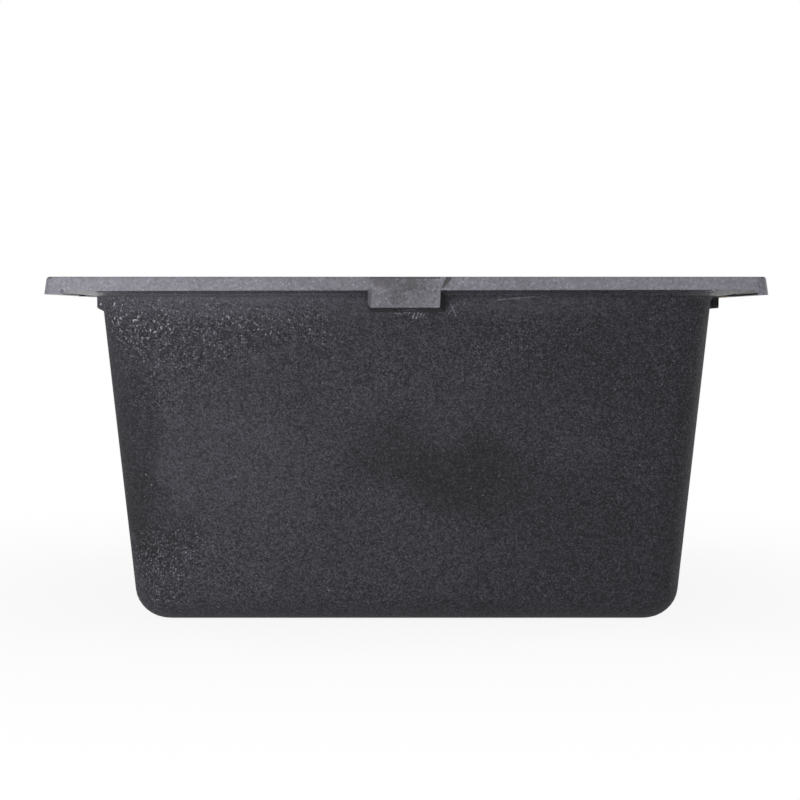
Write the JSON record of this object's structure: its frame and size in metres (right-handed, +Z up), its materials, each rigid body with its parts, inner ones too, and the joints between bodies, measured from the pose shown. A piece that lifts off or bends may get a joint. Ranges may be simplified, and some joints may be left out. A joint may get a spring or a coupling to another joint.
{
  "type": "undermount kitchen sink",
  "caption": "Single-bowl undermount kitchen sink in cast stone composite, with a flat rim, drafted walls, a mounting lug on each side, threaded brass inserts and a central drain opening.",
  "frame": {"origin": "centre of the flat underside of the base", "axes": "+Y along the sink's length, +X across it, +Z up to the rim; the pictured short side faces -Y"},
  "size_m": [0.47, 0.625, 0.229],
  "materials": {
    "cast_composite": "matt charcoal quartz composite, cast, with a fine raised grain outside",
    "insert_brass": "plain turned brass"
  },
  "bodies": {
    "root": {"sink_bowl": "cast_composite", "lug_insert_front": "insert_brass", "lug_insert_back": "insert_brass", "lug_insert_left": "insert_brass", "lug_insert_right": "insert_brass", "rim_insert_front_left": "insert_brass", "rim_insert_front_right": "insert_brass", "rim_insert_back_left": "insert_brass", "rim_insert_back_right": "insert_brass"}
  },
  "joints": []
}
